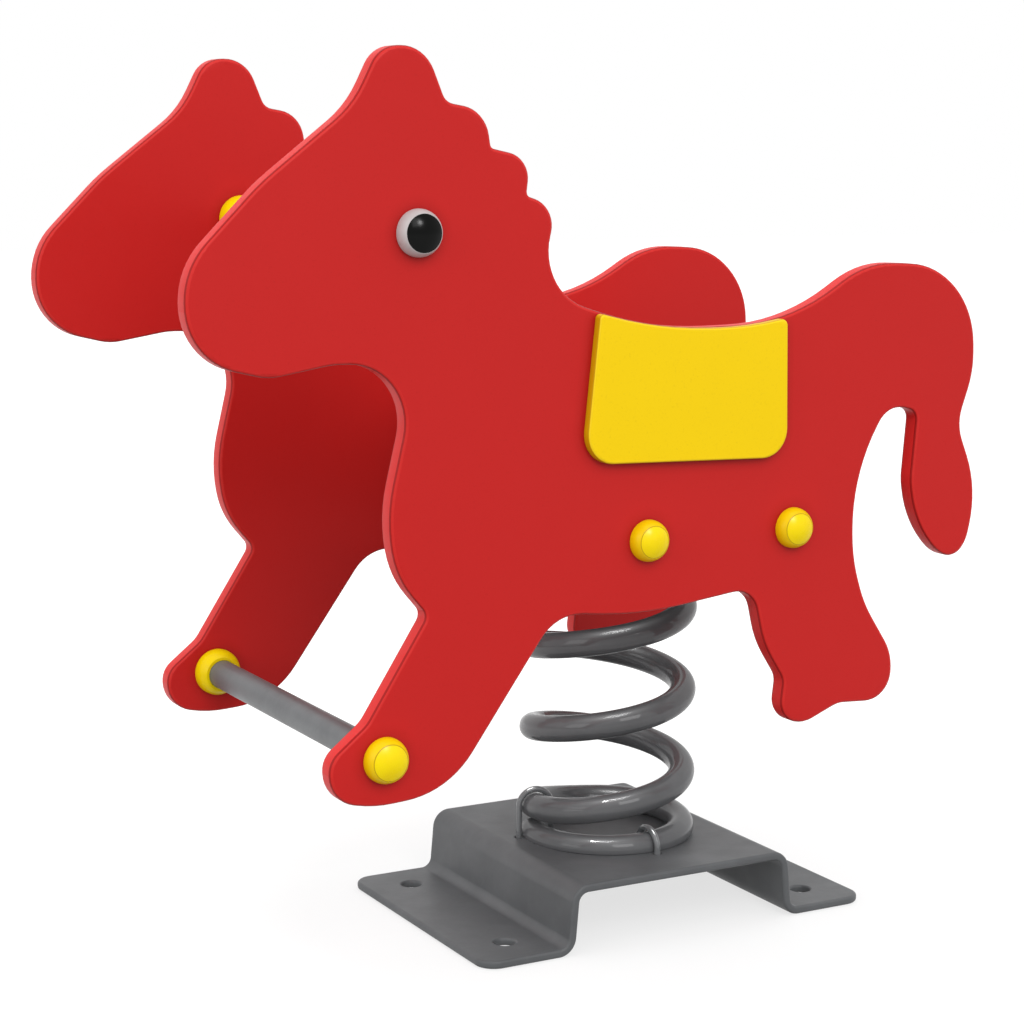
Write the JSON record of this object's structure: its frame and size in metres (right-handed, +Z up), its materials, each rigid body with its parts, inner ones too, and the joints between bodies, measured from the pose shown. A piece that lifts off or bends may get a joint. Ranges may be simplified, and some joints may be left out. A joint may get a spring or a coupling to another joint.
{
  "type": "spring rider",
  "caption": "Playground spring rider: horse-shaped side boards with a seat, handlebar and footrest between them, on a coil spring clamped to a bent steel ground plate.",
  "frame": {"origin": "centre of the four ground holes, on the ground and on the spring's axis", "axes": "+X forward to the horse's nose, +Y to the rider's left, +Z up"},
  "size_m": [0.8089, 0.437, 0.8302],
  "materials": {
    "red_board": "satin",
    "yellow_board": "satin",
    "yellow_cap": "gloss",
    "eye_white": "gloss",
    "eye_black": "gloss",
    "spring_paint": "gloss",
    "base_paint": "satin",
    "clamp_steel": "satin",
    "tube_paint": "satin",
    "zinc": "zinc plated"
  },
  "bodies": {
    "base": {"base_plate": "base_paint", "base_clamps": "clamp_steel", "base_clamp_washers": "clamp_steel", "base_clamp_nuts": "clamp_steel"},
    "spring": {"coil_spring": "spring_paint"},
    "rider": {"left_panel": "red_board", "right_panel": "red_board", "seat_board": "red_board", "left_saddle_pad": "yellow_board", "right_saddle_pad": "yellow_board", "left_footrest_cover_base": "yellow_cap", "left_front_cover_base": "yellow_cap", "left_rear_cover_base": "yellow_cap", "right_footrest_cover_base": "yellow_cap", "right_front_cover_base": "yellow_cap", "right_rear_cover_base": "yellow_cap", "left_footrest_cover_lid": "yellow_cap", "left_front_cover_lid": "yellow_cap", "left_rear_cover_lid": "yellow_cap", "right_footrest_cover_lid": "yellow_cap", "right_front_cover_lid": "yellow_cap", "right_rear_cover_lid": "yellow_cap", "left_handlebar_flange": "yellow_cap", "right_handlebar_flange": "yellow_cap", "left_footrest_flange": "yellow_cap", "right_footrest_flange": "yellow_cap", "left_eye_base": "eye_white", "right_eye_base": "eye_white", "left_eye_lid": "eye_black", "right_eye_lid": "eye_black", "head_bracket": "base_paint", "head_clamps": "clamp_steel", "head_clamp_washers": "clamp_steel", "head_clamp_nuts": "clamp_steel", "handlebar": "tube_paint", "footrest_bar": "tube_paint", "pad_screws": "zinc", "seat_bolts": "zinc", "seat_washers": "zinc", "seat_nuts": "zinc", "handlebar_plugs": "zinc", "handlebar_bolts": "zinc", "handlebar_washers": "zinc", "footrest_plugs": "zinc", "footrest_bolts": "zinc", "footrest_washers": "zinc", "body_bolts": "zinc", "body_washers": "zinc", "body_nuts": "zinc"}
  },
  "joints": [
    {"name": "rock", "type": "hinge", "parent": "base", "child": "spring", "pos_m": [0, 0, 0.16], "axis": [0, 1, 0], "range_deg": [-20, 20], "stiffness_Nm_per_rad": 2400, "springref_deg": -0.41, "deforming": ["coil_spring"]},
    {"name": "sway", "type": "hinge", "parent": "spring", "child": "rider", "pos_m": [0, 0, 0.255], "axis": [1, 0, 0], "range_deg": [-12, 12], "stiffness_Nm_per_rad": 2400, "deforming": ["coil_spring"]}
  ]
}
